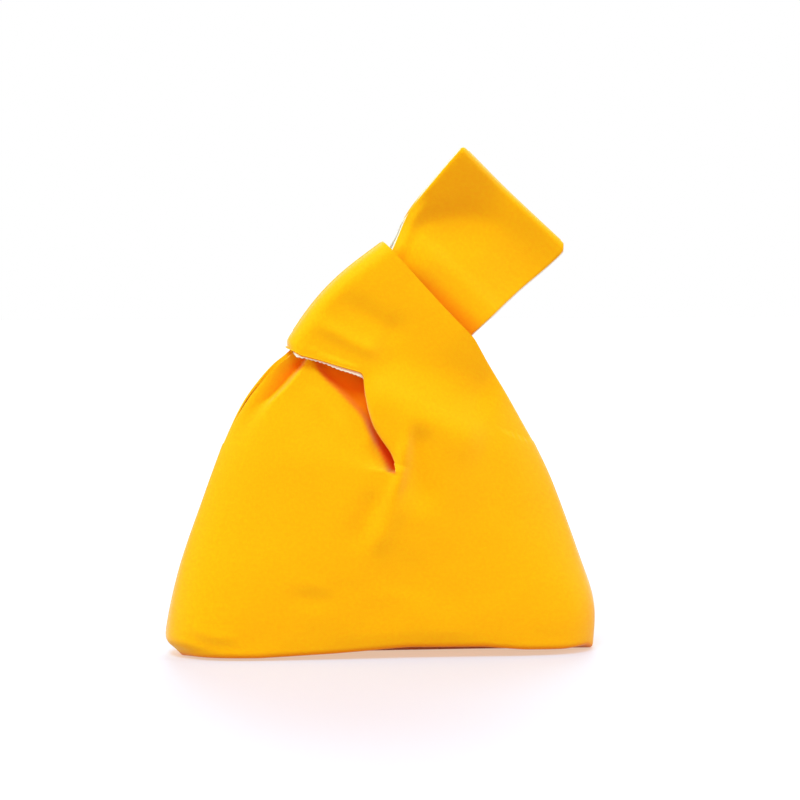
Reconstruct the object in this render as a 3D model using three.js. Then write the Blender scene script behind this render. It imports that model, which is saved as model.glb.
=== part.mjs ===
// Japanese knot bag: a small lined cloth pouch with two loops cut in one with its panels.
// The long loop is drawn through the short loop, which closes the mouth and leaves a wrist handle.
// Millimetres, +Z up, front towards -Y, origin on the floor under the middle of the bag.
import * as THREE from "three";

// Driving dimensions of the pouch
const BAG_WIDTH = 200; // across the side seams at the widest, just above the base
const BASE_DEPTH = 46; // front to back across the boxed base
const BASE_LENGTH = 191; // length of the flat base between its boxed corners
const CORNER_TUCK = 5; // how far the bottom seam stops short of each end of the base
const FOOT_HEIGHT = 9; // height of the rounded turn from base to wall
const FOOT_FLAT = 0.72; // share of the base's half depth that lies flat on the floor
const SEAM_HEIGHT = 99; // the side seams are sewn up to here, and the loops part above it
const SEAM_SPAN = 145; // bag's width where the side seams end
const SEAM_DEPTH = 35; // front to back at the same height
const NECK_HEIGHT = 85; // lowest point of the neckline
const NECK_X = 5.6; // neckline's lowest point, right of the middle

// Driving dimensions of the loops and the knot
const STRAP_WIDTH = 65; // both loops are cut this wide
const GATHER_WIDTH = 54; // the long loop's width where the knot draws it together
const THROAT_WIDTH = 40; // its width deep inside the knot
const KNOT_X = 21; // middle of the line where the handle leaves the short loop
const KNOT_Z = 170;
const LEAN = THREE.MathUtils.degToRad(42); // the handle leans this far right of upright
const SHORT_REACH = 32; // from that middle to the short loop's fold on the left
const HANDLE_LENGTH = 59.5; // from the short loop's upper edge to the handle's crown
const HANDLE_SHIFT = 2; // the long loop sits this far right of the knot's middle
const NECK_RISE = 16; // the handle bends this far above the line where it leaves the short loop
const LOOP_PUFF = 1.6; // each side of the handle swells out by this much half way up
const CROWN_GAP = 3.2; // between the two sides of the handle just below its crown
const CROWN_ROUND = 3.5; // length of the rounded turn at the handle's crown
const LIE_BACK = 0.15; // slope of the handle's lower part, which lies back
const HANG_FORWARD = 0.12; // slope of its upper part, which hangs forward of a slanting crease
const CREASE_HEIGHT = 38; // the crease crosses the handle's middle this far up
const CREASE_FALL = 0.86; // slope of the crease left of the middle
const CREASE_CLIMB = 0.42; // its slope right of the middle
const CREASE_SOFT = 4; // half width of the crease's rounding
const LOOP_PROUD = 3; // the short loop's upper edge stands this far past the handle's exit
const LOOP_FLARE = 9; // the short loop's lower edge slants by this much on its way to the fold

// How far each edge of the loops runs on its own line before it bends, and leans as it does
const NECKLINE_RUN = 47; // short loop, up from the neckline
const NECKLINE_LEAN = 14;
const SIDE_RUN = 20; // short loop, up from the right side seam
const SIDE_LEAN = 10;
const LOW_EDGE_RUN = 26; // short loop's lower edge, back from the fold
const HIGH_EDGE_RUN = 35; // short loop's upper edge, back from the fold
const ROOT_SIDE_RUN = 26; // long loop, up from the left side seam
const ROOT_SIDE_LEAN = 11;
const ROOT_NECK_RUN = 18; // long loop, up from the neckline
const ROOT_NECK_LEAN = -5;
const ROOT_END_RUN = 22; // long loop, back from its slack inside the knot

// Driving dimensions of the cloth
const OUTER = 1.0; // thickness of the coloured canvas
const LINING = 0.8; // thickness of the white lining
const CLEARANCE = 0.3; // between cloths that lie on each other
const POUCH_EASE = 0.7; // the pouch's lining hangs this far inside its canvas
const SEAM_TAPE = 0.8; // thickness of the turned-in seam allowance
const SEAM_TURN = 5; // how far a seam allowance reaches inwards
const WRIST_GAP = 6.6; // between the two sides of the handle at the knot
const KNOT_SLACK = 2.2; // between the short loop and the strap that it holds
const STRAP_LAP = 22; // the gathered strap's slack folds over itself this far
const ROOT_WRAP = 5.8; // the strap's root reaches this far past each edge of that slack

// Levels of the cloth in the knot, from its middle plane to each layer's outer face
const LAYER = OUTER + CLEARANCE + LINING;
const SEAM_EDGE = SEAM_TAPE / 2 + CLEARANCE;
const THROAT_LEVEL = WRIST_GAP / 2 + LAYER;
const ROOT_LEVEL = THROAT_LEVEL + CLEARANCE + LAYER;
const LOOP_LEVEL = ROOT_LEVEL + KNOT_SLACK + LAYER;
const ROOT_EDGE_LEVEL = ROOT_LEVEL - LAYER; // the strap's edges curl in towards the middle
const FOLD_LOW = LOOP_PROUD - STRAP_WIDTH + LOOP_FLARE / 3; // lower end of the short loop's fold
const ROOT_END = -30; // where the strap's slack begins, measured along the handle from its exit
const PIVOT_RISE = 2; // the handle turns in the short loop about a point this far past its edge

const { lerp, smoothstep, clamp } = THREE.MathUtils;
const QUARTER = Math.PI / 2;
const along = new THREE.Vector2(Math.sin(LEAN), Math.cos(LEAN)); // the handle's direction in XZ
const across = new THREE.Vector2(Math.cos(LEAN), -Math.sin(LEAN)); // square to it, down and right

// A point of the knot's own leaning frame as a point in XZ.
function knotPoint(a, b) {
  return new THREE.Vector2(KNOT_X, KNOT_Z).addScaledVector(across, a).addScaledVector(along, b);
}

function bezier(p0, p1, p2, p3, t) {
  return new THREE.CubicBezierCurve(p0, p1, p2, p3).getPoint(t);
}

// Share of the way from the foot to the end of the side seams.
function rise(z) {
  return clamp((z - FOOT_HEIGHT) / (SEAM_HEIGHT - FOOT_HEIGHT), 0, 1);
}

function halfWidth(z) {
  return lerp(BAG_WIDTH, SEAM_SPAN, rise(z) ** 1.25) / 2;
}

// Half depth of the pouch at a place across it (-1 at the left seam, 1 at the right) and a height.
// The section is a rounded box at the boxed base and an oval where the seams end.
function wallDepth(u, z) {
  const box = Math.sqrt(1 - Math.abs(u) ** 8);
  const oval = Math.sqrt(1 - Math.abs(u) ** 2.3);
  const profile = lerp(box, oval, smoothstep(rise(z), 0, 0.75));
  const middle = lerp(BASE_DEPTH, SEAM_DEPTH, rise(z) ** 1.6) / 2;
  return lerp(SEAM_EDGE, middle, profile);
}

const NECK_U = NECK_X / halfWidth(NECK_HEIGHT);

// Height of the line where the loops leave the pouch: it dips to the neckline's lowest point.
function topLine(u) {
  const side = u < NECK_U ? (u + 1) / (NECK_U + 1) : (1 - u) / (1 - NECK_U);
  return lerp(SEAM_HEIGHT, NECK_HEIGHT, smoothstep(side, 0, 1));
}

// The pouch's outer face. row runs 0 to 1 over the flat base, to 2 round the foot, to 3 up the wall.
function pouchFace(place, row) {
  const u = Math.sin(place * QUARTER);
  const foot = wallDepth(u, FOOT_HEIGHT);
  const flat = lerp(SEAM_EDGE, foot, FOOT_FLAT);
  if (row <= 1) {
    const half = BASE_LENGTH / 2 - CORNER_TUCK * (1 - row);
    return new THREE.Vector3(u * half, -lerp(SEAM_EDGE, flat, row), 0);
  }
  if (row <= 2) {
    const turn = (row - 1) * QUARTER;
    const half = lerp(BASE_LENGTH, BAG_WIDTH, Math.sin(turn)) / 2;
    const z = FOOT_HEIGHT * (1 - Math.cos(turn));
    return new THREE.Vector3(u * half, -lerp(flat, foot, Math.sin(turn)), z);
  }
  const z = lerp(FOOT_HEIGHT, topLine(u), row - 2);
  return new THREE.Vector3(u * halfWidth(z), -wallDepth(u, z), z);
}

// A point of the line where the loops leave the pouch.
function topPoint(u) {
  const z = topLine(u);
  return new THREE.Vector3(u * halfWidth(z), -wallDepth(u, z), z);
}

// The short loop's front leg. place runs 0 at the neckline to 1 at the side, row 0 to 1 up to the
// fold on the left and on to 2 round it, to the seam that joins the leg to the one behind.
function shortLoopFace(place, row) {
  const start = topPoint(lerp(NECK_U, 1, place));
  const foldAt = -SHORT_REACH + LOOP_LEVEL;
  const low = knotPoint(foldAt, FOLD_LOW);
  const lowPull = knotPoint(foldAt + LOW_EDGE_RUN, FOLD_LOW + LOOP_FLARE);
  const high = knotPoint(foldAt, LOOP_PROUD);
  const highPull = knotPoint(foldAt + HIGH_EDGE_RUN, LOOP_PROUD);
  const neck = new THREE.Vector2(topPoint(NECK_U).x, topPoint(NECK_U).z);
  const side = new THREE.Vector2(topPoint(1).x, topPoint(1).z);
  const t = Math.min(row, 1);
  const neckPull = new THREE.Vector2(neck.x - NECKLINE_LEAN, neck.y + NECKLINE_RUN);
  const sidePull = new THREE.Vector2(side.x - SIDE_LEAN, side.y + SIDE_RUN);
  const inner = bezier(neck, neckPull, lowPull, low, t);
  const outer = bezier(side, sidePull, highPull, high, t);
  const flat = inner.clone().lerp(outer, place);
  const chord = neck.clone().lerp(side, place);
  const fade = (1 - t) ** 2;
  const turn = Math.max(row - 1, 0) * QUARTER;
  flat.addScaledVector(across, -(LOOP_LEVEL - SEAM_EDGE) * Math.sin(turn));
  const level = lerp(SEAM_EDGE, LOOP_LEVEL, Math.cos(turn));
  return new THREE.Vector3(
    flat.x + (start.x - chord.x) * fade,
    lerp(start.y, -level, smoothstep(t, 0, 0.6)),
    flat.y + (start.z - chord.y) * fade,
  );
}

// The long loop's front root, gathered from the left half of the pouch into the knot.
// place runs 0 at the left side to 1 at the neckline, row 0 to 1 from the pouch into the knot.
function strapRootFace(place, row) {
  const inset = CLEARANCE + OUTER; // clear of the short loop's own edge at the neckline
  const start = topPoint(lerp(-1, NECK_U - inset / halfWidth(NECK_HEIGHT), place));
  const from = new THREE.Vector2(start.x, start.z);
  const half = THROAT_WIDTH / 2 + ROOT_WRAP;
  const end = knotPoint(HANDLE_SHIFT + lerp(-half, half, place), ROOT_END);
  const lean = lerp(ROOT_SIDE_LEAN, ROOT_NECK_LEAN, place);
  const rising = from.clone().add(new THREE.Vector2(lean, lerp(ROOT_SIDE_RUN, ROOT_NECK_RUN, place)));
  const flat = bezier(from, rising, end.clone().addScaledVector(along, -ROOT_END_RUN), end, row);
  const curl = (2 * Math.abs(place - 0.5)) ** 14;
  const level = lerp(ROOT_LEVEL, ROOT_EDGE_LEVEL, curl);
  const dive = smoothstep(row, 0, lerp(0.7, 0.35, place));
  return new THREE.Vector3(flat.x, lerp(start.y, -level, dive), flat.y);
}

// How far the handle's middle stands behind the knot's plane, at a place across it and along it.
// The seam allowance keeps it straight along the crown.
function handleSag(a, height) {
  const b = Math.min(height, HANDLE_LENGTH - SEAM_TURN);
  const slope = a < 0 ? CREASE_FALL : CREASE_CLIMB;
  const crease = Math.max(CREASE_HEIGHT + slope * a, NECK_RISE);
  const over = CREASE_SOFT * Math.log1p(Math.exp((b - crease) / CREASE_SOFT));
  const under = b - NECK_RISE - over;
  return (LIE_BACK * under - HANG_FORWARD * over) * smoothstep(b, NECK_RISE, NECK_RISE + 2.5 * CREASE_SOFT);
}

// A leg of the handle in the knot's frame: x across, z along, from the neck to the crown's seam.
// row runs 0 to 1 up the leg and on to 2 round the crown. The back leg, mirror -1, is turned over later.
function handleFace(place, row, mirror) {
  const first = NECK_RISE + CLEARANCE;
  const last = HANDLE_LENGTH - CROWN_ROUND;
  const t = Math.min(row, 1);
  const turn = Math.max(row - 1, 0) * QUARTER;
  const b = lerp(first, last, t) + CROWN_ROUND * Math.sin(turn);
  const half = lerp(GATHER_WIDTH, STRAP_WIDTH, smoothstep(t, 0, 0.8)) / 2;
  const taper = lerp(THROAT_LEVEL, CROWN_GAP / 2 + LAYER, smoothstep(t, 0.2, 1));
  const swell = taper + LOOP_PUFF * Math.sin(Math.PI * t) ** 2;
  const level = lerp(SEAM_EDGE, swell, Math.cos(turn));
  const a = HANDLE_SHIFT + (2 * place - 1) * half;
  return new THREE.Vector3(a, mirror * handleSag(a, b) - level, b);
}

// The seam allowance turned in under the crown follows the handle's middle. row runs 0 to 1 up to it.
function crownSeamFace(place, row) {
  const a = HANDLE_SHIFT + (place - 0.5) * STRAP_WIDTH;
  const b = HANDLE_LENGTH - SEAM_TURN * (1 - row);
  return new THREE.Vector3(a, handleSag(a, b), b);
}

// A closed solid of cloth between two depths under a face, on a grid of the face's own two parameters.
// The face looks outwards when places and rows run the way they are listed.
function clothSheet(face, places, rows, fromDepth, toDepth) {
  const step = 1e-3;
  const positions = [];
  const index = [];
  const count = rows.length * places.length;
  for (const depth of [fromDepth, toDepth]) {
    for (const row of rows) {
      for (const place of places) {
        const [first, last] = [Math.min(...places), Math.max(...places)];
        const [low, high] = [Math.min(...rows), Math.max(...rows)];
        const dPlace = face(Math.min(place + step, last), row).sub(face(Math.max(place - step, first), row));
        const dRow = face(place, Math.min(row + step, high)).sub(face(place, Math.max(row - step, low)));
        const normal = dPlace.cross(dRow).normalize();
        positions.push(...face(place, row).addScaledVector(normal, -depth).toArray());
      }
    }
  }
  const at = (i, j, inner) => inner * count + j * places.length + i;
  const quad = (a, b, c, d) => index.push(a, b, c, a, c, d);
  for (let j = 0; j + 1 < rows.length; j++) {
    for (let i = 0; i + 1 < places.length; i++) {
      quad(at(i, j, 0), at(i + 1, j, 0), at(i + 1, j + 1, 0), at(i, j + 1, 0));
      quad(at(i, j, 1), at(i, j + 1, 1), at(i + 1, j + 1, 1), at(i + 1, j, 1));
    }
  }
  const right = places.length - 1;
  const top = rows.length - 1;
  for (let i = 0; i < right; i++) {
    quad(at(i, 0, 0), at(i, 0, 1), at(i + 1, 0, 1), at(i + 1, 0, 0));
    quad(at(i, top, 0), at(i + 1, top, 0), at(i + 1, top, 1), at(i, top, 1));
  }
  for (let j = 0; j < top; j++) {
    quad(at(0, j, 0), at(0, j + 1, 0), at(0, j + 1, 1), at(0, j, 1));
    quad(at(right, j, 0), at(right, j, 1), at(right, j + 1, 1), at(right, j + 1, 0));
  }
  const geometry = new THREE.BufferGeometry();
  geometry.setAttribute("position", new THREE.Float32BufferAttribute(positions, 3));
  geometry.setIndex(index);
  return geometry;
}

// Evenly spaced values from first to last.
function steps(first, last, count) {
  return Array.from({ length: count + 1 }, (_, i) => lerp(first, last, i / count));
}

// A flat piece cut to a shape in XZ, between two distances in front of the middle plane.
function flatPiece(shape, near, far) {
  const geometry = new THREE.ExtrudeGeometry(shape, { depth: far - near, bevelEnabled: false, curveSegments: 8 });
  return geometry.translate(0, 0, near).rotateX(QUARTER);
}

// The strap inside the knot, with a hollow end in which the handle's neck turns.
function throatShape() {
  const half = THROAT_WIDTH / 2;
  const socket = GATHER_WIDTH / 2 + CLEARANCE;
  const open = Math.asin(half / socket);
  const shape = new THREE.Shape();
  shape.moveTo(HANDLE_SHIFT - half, ROOT_END - STRAP_LAP);
  shape.lineTo(HANDLE_SHIFT + half, ROOT_END - STRAP_LAP);
  shape.absarc(HANDLE_SHIFT, PIVOT_RISE, socket, open - QUARTER, -open - QUARTER, true);
  return shape;
}

// The neck of the handle: round where it turns in the strap, straight where it leaves the short loop.
function neckShape() {
  const half = GATHER_WIDTH / 2;
  const shape = new THREE.Shape();
  shape.moveTo(HANDLE_SHIFT + half, NECK_RISE);
  shape.lineTo(HANDLE_SHIFT - half, NECK_RISE);
  shape.absarc(HANDLE_SHIFT, PIVOT_RISE, half, Math.PI, 2 * Math.PI, false);
  return shape;
}

// A seam allowance in XZ that follows a side of the pouch, +1 on the right and -1 on the left.
function sideSeamShape(side) {
  const heights = steps(FOOT_HEIGHT, SEAM_HEIGHT, 8);
  const edge = heights.map((z) => new THREE.Vector2(side * halfWidth(z), z));
  const inside = heights.map((z) => new THREE.Vector2(side * (halfWidth(z) - SEAM_TURN), z));
  return new THREE.Shape([...edge, ...inside.reverse()]);
}

function rectangle(left, right, low, high) {
  return new THREE.Shape([
    new THREE.Vector2(left, low),
    new THREE.Vector2(right, low),
    new THREE.Vector2(right, high),
    new THREE.Vector2(left, high),
  ]);
}

const canvas = new THREE.MeshStandardMaterial({ color: 0xf9b50d, roughness: 0.9, metalness: 0 });
const whiteCotton = new THREE.MeshStandardMaterial({ color: 0xf3eae2, roughness: 0.95, metalness: 0 });
const seamCotton = new THREE.MeshStandardMaterial({ color: 0xe9a60c, roughness: 0.95, metalness: 0 });

const bag = new THREE.Group();
const knot = new THREE.Group(); // leans with the handle
knot.position.set(KNOT_X, 0, KNOT_Z);
knot.rotation.y = LEAN;
bag.add(knot);

function addPiece(group, name, geometry, material, mirror = 1) {
  const mesh = new THREE.Mesh(geometry, material);
  mesh.name = name;
  mesh.scale.y = mirror;
  group.add(mesh);
}

// Each cloth is an outer sheet with its lining behind it, at a clearance.
const CLOTHS = [
  ["outer", canvas, 0, OUTER],
  ["lining", whiteCotton, OUTER + CLEARANCE, LAYER],
];
const SIDES = [
  ["front", 1],
  ["back", -1],
];

// Rows and places that each face is cut into. Loops start a clearance above the pouch's top edge.
const pouchPlaces = steps(-1, 1, 18);
const pouchRows = [0, 0.5, ...steps(1, 2, 3), ...steps(2, 3, 7).slice(1)];
const loopStart = (1.5 * CLEARANCE) / (SEAM_HEIGHT - NECK_HEIGHT + STRAP_WIDTH);
const loopRows = [...steps(loopStart, 1, 9), ...steps(1, 2, 4).slice(1)];
const rootRows = steps(1.3 * loopStart, 1, 8);
const handlePlaces = steps(0, 1, 10);
const handleRows = [...steps(0, 1, 8), ...steps(1, 2, 4).slice(1)];

for (const [side, mirror] of SIDES) {
  for (const [cloth, material, near, far] of CLOTHS) {
    const add = (group, piece, geometry) =>
      addPiece(group, `${side}_${piece}_${cloth}`, geometry, material, mirror);
    const ease = cloth === "lining" ? POUCH_EASE - CLEARANCE : 0;
    add(bag, "pouch", clothSheet(pouchFace, pouchPlaces, pouchRows, near + ease, far + ease));
    add(bag, "short_loop", clothSheet(shortLoopFace, steps(0, 1, 8), loopRows, near, far));
    add(bag, "strap_root", clothSheet(strapRootFace, steps(0, 1, 10), rootRows, near, far));
    add(knot, "strap_throat", flatPiece(throatShape(), THROAT_LEVEL - far, THROAT_LEVEL - near));
    add(knot, "handle_neck", flatPiece(neckShape(), THROAT_LEVEL - far, THROAT_LEVEL - near));
    const legFace = (place, row) => handleFace(place, row, mirror);
    add(knot, "handle_loop", clothSheet(legFace, handlePlaces, handleRows, near, far));
  }
}

// Turned-in seam allowances that join the front cloths to the back ones
const tape = SEAM_TAPE / 2;
const bottomHalf = BASE_LENGTH / 2 - CORNER_TUCK;
addPiece(bag, "left_side_seam", flatPiece(sideSeamShape(-1), -tape, tape), seamCotton);
addPiece(bag, "right_side_seam", flatPiece(sideSeamShape(1), -tape, tape), seamCotton);
addPiece(bag, "bottom_seam", flatPiece(rectangle(-bottomHalf, bottomHalf, CLEARANCE, SEAM_TURN), -tape, tape), seamCotton);
addPiece(
  knot,
  "short_loop_seam",
  flatPiece(rectangle(-SHORT_REACH, -SHORT_REACH + SEAM_TURN, FOLD_LOW, LOOP_PROUD), -tape, tape),
  seamCotton,
);
addPiece(knot, "handle_crown_seam", clothSheet(crownSeamFace, handlePlaces, [0, 1], -tape, tape), seamCotton);

export default bag;
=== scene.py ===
# %% [markdown]
# # Dressing a japanese knot bag
# The frame holds the bag as stiff solids. This lesson puts cloth in their place: yellow canvas outside,
# white cotton inside, and the folds that the knot pulls into both.

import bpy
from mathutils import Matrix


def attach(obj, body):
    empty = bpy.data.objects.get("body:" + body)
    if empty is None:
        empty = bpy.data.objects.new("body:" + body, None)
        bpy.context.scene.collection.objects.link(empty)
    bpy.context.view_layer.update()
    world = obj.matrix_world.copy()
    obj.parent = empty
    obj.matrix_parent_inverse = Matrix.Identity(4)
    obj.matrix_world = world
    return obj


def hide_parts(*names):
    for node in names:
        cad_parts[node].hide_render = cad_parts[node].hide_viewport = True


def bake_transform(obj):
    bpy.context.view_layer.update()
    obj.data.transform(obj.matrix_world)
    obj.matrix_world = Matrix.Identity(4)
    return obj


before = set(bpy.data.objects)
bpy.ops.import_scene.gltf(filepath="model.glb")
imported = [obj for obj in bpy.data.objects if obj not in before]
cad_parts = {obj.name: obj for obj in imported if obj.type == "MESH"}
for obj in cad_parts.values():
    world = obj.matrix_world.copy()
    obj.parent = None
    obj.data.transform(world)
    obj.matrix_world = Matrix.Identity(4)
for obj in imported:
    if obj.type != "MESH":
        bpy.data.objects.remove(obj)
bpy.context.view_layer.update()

import math

import bpy
import numpy as np
from mathutils import Vector, noise

# %% [markdown]
# ## Sizes
# Cloth is easiest to think about in millimetres, so every size here is in millimetres, and only the
# function that makes a mesh turns it into metres. X runs across the bag, the front faces -Y.
# The knot leans, so it has a frame of its own: `a` runs across the handle and `b` along it, measured
# from the middle of the line where the handle comes out of the short loop.

# %% Sizes and small helpers
MM = 0.001
CANVAS = 0.9
COTTON = 0.5
LAYER_GAP = 0.15
LEAN = math.radians(42)
EXIT = np.array([21.0, 170.0])
ALONG = np.array([math.sin(LEAN), math.cos(LEAN)])
ACROSS = np.array([math.cos(LEAN), -math.sin(LEAN)])


def lerp(start, end, share):
    return start + (end - start) * share


def smooth(value, low, high):
    share = np.clip((value - low) / (high - low), 0, 1)
    return share * share * (3 - 2 * share)


def knot_point(a, b):
    a, b = np.broadcast_arrays(np.asarray(a, float), np.asarray(b, float))
    return EXIT + a[..., None] * ACROSS + b[..., None] * ALONG


def dense_curve(points, steps=40):
    """A smooth line through given points."""
    points = np.array(points, float)
    ends = np.vstack([2 * points[0] - points[1], points, 2 * points[-1] - points[-2]])
    t = np.linspace(0, 1, steps, endpoint=False)[:, None]
    pieces = []
    for p0, p1, p2, p3 in zip(ends, ends[1:], ends[2:], ends[3:]):
        bend = 2 * p0 - 5 * p1 + 4 * p2 - p3
        twist = 3 * p1 - p0 - 3 * p2 + p3
        pieces.append(0.5 * (2 * p1 + (p2 - p0) * t + bend * t**2 + twist * t**3))
    return np.vstack(pieces + [points[-1:]])


def along_curve(points, share):
    """Points at the given shares of the curve's length."""
    line = dense_curve(points)
    length = np.concatenate([[0], np.cumsum(np.linalg.norm(np.diff(line, axis=0), axis=1))])
    where = np.asarray(share) * length[-1]
    return np.stack([np.interp(where, length, line[:, k]) for k in (0, 1)], -1)


print("knot leans", round(math.degrees(LEAN)), "degrees")

# %% [markdown]
# ## The pouch's wall
# The pouch stands on a boxed base, so its section is a rounded box at the foot and thins to a pointed
# oval where the side seams end. The two sides aren't alike: the left corner is folded in at the floor
# and the right one stands square.

# %% Shape of the pouch
BASE_DEPTH = 46.0
SEAM_DEPTH = 36.0
FOOT_HEIGHT = 3.0
FOOT_FLAT = 0.92
CORNER_TUCK = 5.0
SEAM_HEIGHT = 99.0
NECK = np.array([4.7, 86.2])
SEAM_EDGE = 0.25
LEFT_EDGE = [(0, -94.5), (4, -98.0), (9.5, -101.2), (40, -94.7), (75, -82.6), (99, -73.8)]
RIGHT_EDGE = [(0, 100.0), (3, 101.2), (22, 101.4), (45, 93.9), (79, 81.2), (99, 71.8)]


def side_at(edge, z):
    line = dense_curve(edge)
    return np.interp(z, line[:, 0], line[:, 1])


def across_pouch(u, z):
    return lerp(side_at(LEFT_EDGE, z), side_at(RIGHT_EDGE, z), (u + 1) / 2)


def wall_depth(u, z):
    rise = np.clip((z - FOOT_HEIGHT) / (SEAM_HEIGHT - FOOT_HEIGHT), 0, 1)
    box = np.sqrt(np.clip(1 - np.abs(u) ** 8, 0, 1))
    oval = np.clip(1 - np.abs(u) ** 2.3, 0, 1) ** 0.62
    profile = lerp(box, oval, smooth(rise, 0, 0.75))
    return lerp(SEAM_EDGE, lerp(BASE_DEPTH, SEAM_DEPTH, rise**1.6) / 2, profile)


neck_sides = side_at(LEFT_EDGE, NECK[1]), side_at(RIGHT_EDGE, NECK[1])
NECK_U = float(2 * (NECK[0] - neck_sides[0]) / (neck_sides[1] - neck_sides[0]) - 1)


def top_line(u):
    share = np.where(u < NECK_U, (u + 1) / (NECK_U + 1), (1 - u) / (1 - NECK_U))
    return lerp(SEAM_HEIGHT, NECK[1], smooth(share, 0, 1))


def pouch_point(u, row):
    """row runs 0 to 1 over the base, on to 2 round the foot and to 3 up the wall."""
    foot = wall_depth(u, FOOT_HEIGHT)
    flat = lerp(SEAM_EDGE, foot, FOOT_FLAT)
    turn = np.clip(row - 1, 0, 1) * math.pi / 2
    wall = lerp(FOOT_HEIGHT, top_line(u), np.clip(row - 2, 0, 1))
    z = np.where(row <= 2, FOOT_HEIGHT * (1 - np.cos(turn)), wall)
    x = across_pouch(u, z) - u * CORNER_TUCK * np.clip(1 - row, 0, 1)
    on_base = lerp(SEAM_EDGE, flat, np.clip(row, 0, 1))
    on_foot = lerp(flat, foot, np.sin(turn))
    depth = np.where(row <= 1, on_base, np.where(row <= 2, on_foot, wall_depth(u, z)))
    return np.stack([x, -depth, z], -1)


print("neck at share", round(NECK_U, 3), "of the half width")

# %% [markdown]
# ## The short loop
# The right half of the top narrows into the short loop, which crosses to the left and folds round the
# handle. Its free edge has two stretches: below the corner the cloth rolls under itself, and above it
# the cut edge shows, with the white lining peeping out. A strip between two edge curves makes it, and
# part of the strip's width goes into the roll. A bent plane would keep the cut edge but not the roll.

# %% Shape of the short loop
LOOP_LEVEL = 11.5
ROLL = 1.9
HEM = 0.3
ROLL_FLAP = 9.0
ROLL_PLACES = 0.16
FLAP_PLACES = 0.5
CORNER_SHARE = 0.6
LINING_SHORT = 1.2
LINING_CLEAR = 0.8
ROLL_STARTS = 0.14
CORNER_EASE = 0.2
FLAP_SLOPE = 0.1
ROLLED_EDGE = [(4.6, 89.5), (2.8, 94.5), (-1.0, 100.3), (-4.6, 106.6), (-6.8, 113.1), (-8.4, 121.0),
               (-9.2, 129.9)]
CUT_EDGE = [(-9.2, 129.9), (-10.4, 131.6), (-14.0, 132.9), (-20.3, 134.7), (-28.7, 137.4)]
LOOP_SIDE = [(59.8, 119.7), (49.4, 136.2), (43.2, 146.8), (41.0, 149.4), (30.2, 160.4), (18.7, 172.9)]
FOLD_LOW = np.array([-45.8, 144.4])
FOLD_HIGH = np.array([0.6, 192.6])
FOLD_BULGE = 4.0
FOLD_TURN = 9.0
FOLD_BLUNT = 0.28
BLUNT_SHARE = 0.06
FOLD_SLANT_LOW = np.array([0.86, -0.51])
FOLD_SLANT_HIGH = np.array([0.69, -0.72])


def fold_line(s):
    straight = lerp(FOLD_LOW, FOLD_HIGH, s[..., None])
    return straight - ACROSS * (FOLD_BULGE * np.sin(math.pi * np.clip(s, 0, 1)) ** 1.1)[..., None]


def fold_start(s):
    return fold_line(s) + FOLD_TURN * lerp(FOLD_SLANT_LOW, FOLD_SLANT_HIGH, s[..., None])


def free_edge(t):
    low = along_curve([NECK, *ROLLED_EDGE], np.clip(t / CORNER_SHARE, 0, 1))
    high_share = np.clip((t - CORNER_SHARE) / (1 - CORNER_SHARE), 0, 1)
    high = along_curve([*CUT_EDGE, fold_start(np.array(0.0))], high_share)
    return np.where((t < CORNER_SHARE)[:, None], low, high)


def short_loop_point(u, rows, roll):
    """rows run 0 to 1 from the pouch to the fold and on to 2 round it; roll 0 leaves the free edge flat."""
    t = np.clip(rows, 0, 1)
    seam_top = pouch_point(np.array(1.0), np.array(3.0))[[0, 2]]
    inner = free_edge(t)[:, None]
    outer = along_curve([seam_top, *LOOP_SIDE, fold_start(np.array(1.0))], t)[:, None]
    width = np.linalg.norm(outer - inner, axis=-1)
    rolled = smooth(t, 0, ROLL_STARTS)[:, None]
    below_corner = 1 - smooth(t, CORNER_SHARE - CORNER_EASE, CORNER_SHARE)[:, None]
    radius = lerp(HEM, ROLL, below_corner)
    share = ((u - NECK_U) / (1 - NECK_U))[None, :]
    in_roll = share / ROLL_PLACES
    hidden = lerp(HEM, ROLL_FLAP, below_corner) * np.clip(1 - in_roll / FLAP_PLACES, 0, 1)
    angle = math.pi * np.clip((1 - in_roll) / (1 - FLAP_PLACES), 0, 1)
    in_front = np.clip((share - ROLL_PLACES) / (1 - ROLL_PLACES), 0, 1)
    along = radius - radius * np.sin(angle) + in_front * (width - radius) + hidden
    behind = roll * rolled * (radius * (1 - np.cos(angle)) + FLAP_SLOPE * hidden)
    tucked = (1 - roll) * rolled * below_corner * (ROLL + LINING_CLEAR) * (1 - share)
    s = lerp(share, along / width, roll * rolled)
    s = s - s.min(axis=1, keepdims=True) * (1 - share) + tucked / width
    s = s * (1 - (1 - roll) * rolled * LINING_SHORT / width)
    flat = lerp(inner, outer, s[..., None])
    start = pouch_point(NECK_U + s * (1 - NECK_U), np.full_like(s, 3.0))
    chord = lerp(NECK, seam_top, s[..., None])
    flat = flat + (start[..., [0, 2]] - chord) * ((1 - t) ** 2)[:, None, None]
    straight = lerp(fold_start(np.array(0.0)), fold_start(np.array(1.0)), s[..., None])
    flat = flat + (fold_start(s) - straight) * smooth(t, 0.3, 1)[:, None, None]
    turn = (np.clip(rows - 1, 0, 1) * math.pi / 2)[:, None]
    blunt = 1 - FOLD_BLUNT * np.clip(1 - s / BLUNT_SHARE, 0, 1) ** 2
    flat = flat + (fold_line(s) - fold_start(s)) * (blunt * np.sin(turn) ** 0.9)[..., None]
    level = lerp(SEAM_EDGE, LOOP_LEVEL, np.cos(turn) ** 0.8)
    y = lerp(start[..., 1], -level, smooth(t, 0, 0.6)[:, None]) + behind
    return np.stack([flat[..., 0], y, flat[..., 1]], -1)


print("short loop's fold is", round(float(np.linalg.norm(FOLD_HIGH - FOLD_LOW))), "mm long")

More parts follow.
